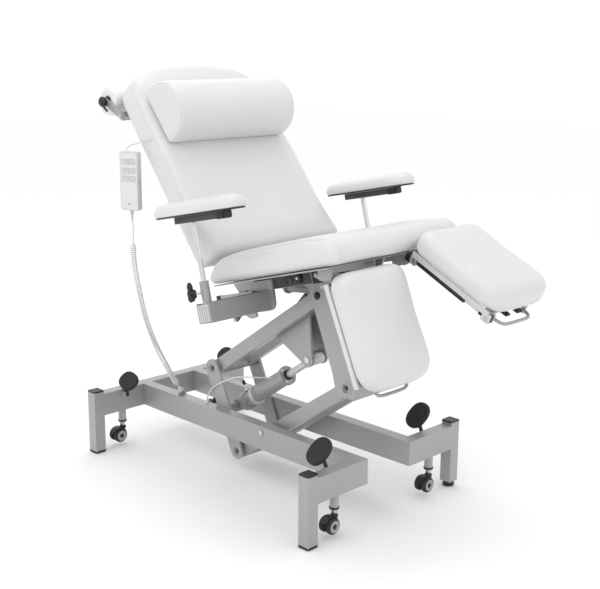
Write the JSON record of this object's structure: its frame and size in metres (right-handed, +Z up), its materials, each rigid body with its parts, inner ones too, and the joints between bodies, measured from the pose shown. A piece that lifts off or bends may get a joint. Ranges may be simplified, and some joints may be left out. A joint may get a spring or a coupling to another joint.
{
  "type": "patient recliner chair",
  "caption": "Powered patient chair with a parallelogram lift, reclining back, head bolster, paper roll, swinging armrests, separate leg rests and a wired handset.",
  "frame": {"origin": "point on the floor under the middle of the chair's box, as shown: lift part raised, back upright, right leg rest hanging, left leg rest raised", "axes": "+X towards the foot end, +Y towards the patient's left, +Z up"},
  "size_m": [1.4636, 0.8638, 1.3503],
  "materials": {
    "white_vinyl": "satin",
    "grey_paint": "satin",
    "chrome": "polished",
    "bright_metal": "satin",
    "black_plastic": "satin",
    "wheel_plastic": "satin",
    "grey_plastic": "satin",
    "paper": "matte"
  },
  "bodies": {
    "base": {"right_side_frame": "grey_paint", "left_side_frame": "grey_paint", "rear_frame": "grey_paint", "handset": "grey_plastic", "handset_lead": "grey_plastic", "curly_cord": "grey_plastic"},
    "levelling_foot": {"levelling_foot": "black_plastic"},
    "front_right_caster_pedal": {"front_right_caster_pedal": "black_plastic"},
    "front_right_caster_plunger": {"front_right_caster_plunger": "bright_metal"},
    "front_right_caster_fork": {"front_right_caster_fork": "black_plastic"},
    "front_right_caster_wheels": {"front_right_caster_wheels": "wheel_plastic"},
    "front_left_caster_pedal": {"front_left_caster_pedal": "black_plastic"},
    "front_left_caster_plunger": {"front_left_caster_plunger": "bright_metal"},
    "front_left_caster_fork": {"front_left_caster_fork": "black_plastic"},
    "front_left_caster_wheels": {"front_left_caster_wheels": "wheel_plastic"},
    "rear_right_caster_pedal": {"rear_right_caster_pedal": "black_plastic"},
    "rear_right_caster_plunger": {"rear_right_caster_plunger": "bright_metal"},
    "rear_right_caster_fork": {"rear_right_caster_fork": "black_plastic"},
    "rear_right_caster_wheels": {"rear_right_caster_wheels": "wheel_plastic"},
    "rear_left_caster_pedal": {"rear_left_caster_pedal": "black_plastic"},
    "rear_left_caster_plunger": {"rear_left_caster_plunger": "bright_metal"},
    "rear_left_caster_fork": {"rear_left_caster_fork": "black_plastic"},
    "rear_left_caster_wheels": {"rear_left_caster_wheels": "wheel_plastic"},
    "upper_arm": {"upper_lift_arm": "grey_paint"},
    "lower_arm": {"lower_lift_arm": "grey_paint"},
    "column": {"column": "grey_paint"},
    "lift_drive": {"lift_drive": "grey_paint"},
    "lift_drive_rod": {"lift_drive_rod": "chrome"},
    "seat": {"seat_frame": "grey_paint", "seat_cushion": "white_vinyl", "right_armrest_clamp": "grey_paint", "left_armrest_clamp": "grey_paint", "back_drive": "grey_paint"},
    "tilt_drive": {"tilt_drive": "grey_paint"},
    "tilt_drive_rod": {"tilt_drive_rod": "chrome"},
    "back_drive_rod": {"back_drive_rod": "chrome"},
    "backrest": {"back_frame": "grey_paint", "back_cushion": "white_vinyl", "head_bolster": "white_vinyl"},
    "paper_roll": {"paper_roll": "paper"},
    "right_armrest_post": {"right_armrest_post": "chrome"},
    "right_armrest_top": {"right_armrest_bar": "grey_paint", "right_armrest_pad": "white_vinyl"},
    "right_armrest_knob": {"right_armrest_clamp_knob": "black_plastic"},
    "right_leg_hanger": {"right_leg_hanger": "grey_paint", "right_leg_gas_cylinder": "black_plastic"},
    "right_leg_rest": {"right_leg_frame": "bright_metal", "right_leg_cushion": "white_vinyl", "right_leg_gas_rod": "bright_metal"},
    "right_leg_handle": {"right_leg_handle": "grey_paint"},
    "left_armrest_post": {"left_armrest_post": "chrome"},
    "left_armrest_top": {"left_armrest_bar": "grey_paint", "left_armrest_pad": "white_vinyl"},
    "left_armrest_knob": {"left_armrest_clamp_knob": "black_plastic"},
    "left_leg_hanger": {"left_leg_hanger": "grey_paint", "left_leg_gas_cylinder": "black_plastic"},
    "left_leg_rest": {"left_leg_frame": "bright_metal", "left_leg_cushion": "white_vinyl", "left_leg_gas_rod": "bright_metal"},
    "left_leg_handle": {"left_leg_handle": "grey_paint"}
  },
  "joints": [
    {"name": "levelling_foot_screw", "type": "slide", "parent": "base", "child": "levelling_foot", "axis": [0, 0, -1], "range_m": [-0.005, 0.01]},
    {"name": "front_right_caster_drop", "type": "slide", "parent": "base", "child": "front_right_caster_plunger", "axis": [0, 0, -1], "range_m": [0, 0.016]},
    {"name": "front_right_caster_pedal_press", "type": "hinge", "parent": "base", "child": "front_right_caster_pedal", "pos_m": [0.30824, -0.22, 0.195], "axis": [0, -1, 0], "range_deg": [0, 30]},
    {"name": "front_right_caster_swivel", "type": "hinge", "parent": "front_right_caster_plunger", "child": "front_right_caster_fork", "pos_m": [0.33824, -0.22, 0.08], "axis": [0, 0, 1], "continuous": true},
    {"name": "front_right_caster_roll", "type": "hinge", "parent": "front_right_caster_fork", "child": "front_right_caster_wheels", "pos_m": [0.33824, -0.24, 0.041], "axis": [1, 0, 0], "continuous": true},
    {"name": "front_left_caster_drop", "type": "slide", "parent": "base", "child": "front_left_caster_plunger", "axis": [0, 0, -1], "range_m": [0, 0.016]},
    {"name": "front_left_caster_pedal_press", "type": "hinge", "parent": "base", "child": "front_left_caster_pedal", "pos_m": [0.30824, 0.22, 0.195], "axis": [0, -1, 0], "range_deg": [0, 30]},
    {"name": "front_left_caster_swivel", "type": "hinge", "parent": "front_left_caster_plunger", "child": "front_left_caster_fork", "pos_m": [0.33824, 0.22, 0.08], "axis": [0, 0, 1], "continuous": true},
    {"name": "front_left_caster_roll", "type": "hinge", "parent": "front_left_caster_fork", "child": "front_left_caster_wheels", "pos_m": [0.33824, 0.2, 0.041], "axis": [1, 0, 0], "continuous": true},
    {"name": "rear_right_caster_drop", "type": "slide", "parent": "base", "child": "rear_right_caster_plunger", "axis": [0, 0, -1], "range_m": [0, 0.016]},
    {"name": "rear_right_caster_pedal_press", "type": "hinge", "parent": "base", "child": "rear_right_caster_pedal", "pos_m": [-0.67976, -0.22, 0.195], "axis": [0, 1, 0], "range_deg": [0, 30]},
    {"name": "rear_right_caster_swivel", "type": "hinge", "parent": "rear_right_caster_plunger", "child": "rear_right_caster_fork", "pos_m": [-0.70976, -0.22, 0.08], "axis": [0, 0, 1], "continuous": true},
    {"name": "rear_right_caster_roll", "type": "hinge", "parent": "rear_right_caster_fork", "child": "rear_right_caster_wheels", "pos_m": [-0.70976, -0.24, 0.041], "axis": [1, 0, 0], "continuous": true},
    {"name": "rear_left_caster_drop", "type": "slide", "parent": "base", "child": "rear_left_caster_plunger", "axis": [0, 0, -1], "range_m": [0, 0.016]},
    {"name": "rear_left_caster_pedal_press", "type": "hinge", "parent": "base", "child": "rear_left_caster_pedal", "pos_m": [-0.67976, 0.22, 0.195], "axis": [0, 1, 0], "range_deg": [0, 30]},
    {"name": "rear_left_caster_swivel", "type": "hinge", "parent": "rear_left_caster_plunger", "child": "rear_left_caster_fork", "pos_m": [-0.70976, 0.22, 0.08], "axis": [0, 0, 1], "continuous": true},
    {"name": "rear_left_caster_roll", "type": "hinge", "parent": "rear_left_caster_fork", "child": "rear_left_caster_wheels", "pos_m": [-0.70976, 0.2, 0.041], "axis": [1, 0, 0], "continuous": true},
    {"name": "lift", "type": "hinge", "parent": "base", "child": "upper_arm", "pos_m": [-0.35276, 0, 0.337], "axis": [0, -1, 0], "range_deg": [-20, 8]},
    {"name": "lower_arm_turn", "type": "hinge", "parent": "base", "child": "lower_arm", "pos_m": [-0.23076, 0, 0.072], "axis": [0, -1, 0], "range_deg": [-20, 8]},
    {"name": "column_turn", "type": "hinge", "parent": "upper_arm", "child": "column", "pos_m": [0.13983, 0, 0.67429], "axis": [0, -1, 0], "range_deg": [-8, 20]},
    {"name": "lift_drive_turn", "type": "hinge", "parent": "base", "child": "lift_drive", "pos_m": [-0.30576, 0, 0.2], "axis": [0, -1, 0], "range_deg": [-19.5, 8]},
    {"name": "lift_drive_stroke", "type": "slide", "parent": "lift_drive", "child": "lift_drive_rod", "axis": [0.8243, 0, 0.5661], "range_m": [-0.05, 0.02]},
    {"name": "seat_tilt", "type": "hinge", "parent": "column", "child": "seat", "pos_m": [0.06124, 0, 0.715], "axis": [0, 1, 0], "range_deg": [-5, 15]},
    {"name": "tilt_drive_turn", "type": "hinge", "parent": "column", "child": "tilt_drive", "pos_m": [0.31424, 0, 0.47], "axis": [0, -1, 0], "range_deg": [-1, 1]},
    {"name": "tilt_drive_stroke", "type": "slide", "parent": "tilt_drive", "child": "tilt_drive_rod", "axis": [-0.1445, 0, 0.9895], "range_m": [-0.057, 0.02]},
    {"name": "back_recline", "type": "hinge", "parent": "seat", "child": "backrest", "pos_m": [-0.18515, 0, 0.7111], "axis": [0, -1, 0], "range_deg": [0, 66]},
    {"name": "paper_roll_spin", "type": "hinge", "parent": "backrest", "child": "paper_roll", "pos_m": [-0.65977, 0, 1.22342], "axis": [0, 1, 0], "continuous": true},
    {"name": "back_drive_stroke", "type": "slide", "parent": "seat", "child": "back_drive_rod", "axis": [-0.993, 0, -0.1183], "range_m": [-0.095, 0]},
    {"name": "right_armrest_height", "type": "slide", "parent": "seat", "child": "right_armrest_post", "axis": [-0.2588, 0, 0.9659], "range_m": [-0.08, 0.03]},
    {"name": "right_armrest_swing", "type": "hinge", "parent": "right_armrest_post", "child": "right_armrest_top", "pos_m": [-0.10699, -0.374, 0.91011], "axis": [-0.2588, 0, 0.9659], "range_deg": [-5, 60]},
    {"name": "right_armrest_clamp_turn", "type": "hinge", "parent": "seat", "child": "right_armrest_knob", "pos_m": [-0.05005, -0.374, 0.6976], "axis": [-0.683, -0.7071, -0.183], "range_deg": [-180, 180]},
    {"name": "right_leg_raise", "type": "hinge", "parent": "seat", "child": "right_leg_hanger", "pos_m": [0.30344, -0.15, 0.88135], "axis": [0, -1, 0], "range_deg": [-3, 66]},
    {"name": "right_leg_extend", "type": "slide", "parent": "right_leg_hanger", "child": "right_leg_rest", "axis": [0.4067, 0, -0.9135], "range_m": [0, 0.06]},
    {"name": "right_leg_release", "type": "hinge", "parent": "right_leg_rest", "child": "right_leg_handle", "pos_m": [0.45559, -0.126, 0.49044], "axis": [0, -1, 0], "range_deg": [0, 15]},
    {"name": "left_armrest_height", "type": "slide", "parent": "seat", "child": "left_armrest_post", "axis": [-0.2588, 0, 0.9659], "range_m": [-0.08, 0.03]},
    {"name": "left_armrest_swing", "type": "hinge", "parent": "left_armrest_post", "child": "left_armrest_top", "pos_m": [-0.10699, 0.374, 0.91011], "axis": [-0.2588, 0, 0.9659], "range_deg": [-60, 5]},
    {"name": "left_armrest_clamp_turn", "type": "hinge", "parent": "seat", "child": "left_armrest_knob", "pos_m": [-0.05005, 0.374, 0.6976], "axis": [-0.683, 0.7071, -0.183], "range_deg": [-180, 180]},
    {"name": "left_leg_raise", "type": "hinge", "parent": "seat", "child": "left_leg_hanger", "pos_m": [0.30344, 0.15, 0.88135], "axis": [0, -1, 0], "range_deg": [-43, 26]},
    {"name": "left_leg_extend", "type": "slide", "parent": "left_leg_hanger", "child": "left_leg_rest", "axis": [0.8988, 0, -0.4384], "range_m": [0, 0.06]},
    {"name": "left_leg_release", "type": "hinge", "parent": "left_leg_rest", "child": "left_leg_handle", "pos_m": [0.67126, 0.126, 0.6797], "axis": [0, -1, 0], "range_deg": [0, 15]}
  ],
  "couplings": [
    {"joint": "front_right_caster_pedal_press", "follows": "front_right_caster_drop", "rad_per_m": 32.7},
    {"joint": "front_left_caster_pedal_press", "follows": "front_left_caster_drop", "rad_per_m": 32.7},
    {"joint": "rear_right_caster_pedal_press", "follows": "rear_right_caster_drop", "rad_per_m": 32.7},
    {"joint": "rear_left_caster_pedal_press", "follows": "rear_left_caster_drop", "rad_per_m": 32.7},
    {"joint": "lower_arm_turn", "follows": "lift", "ratio": 1},
    {"joint": "column_turn", "follows": "lift", "ratio": -1},
    {"joint": "lift_drive_turn", "follows": "lift", "ratio": 0.95},
    {"joint": "lift_drive_stroke", "follows": "lift", "m_per_rad": 0.142},
    {"joint": "tilt_drive_turn", "follows": "seat_tilt", "ratio": 0.03},
    {"joint": "tilt_drive_stroke", "follows": "seat_tilt", "m_per_rad": -0.214},
    {"joint": "back_drive_stroke", "follows": "back_recline", "m_per_rad": -0.0807}
  ]
}
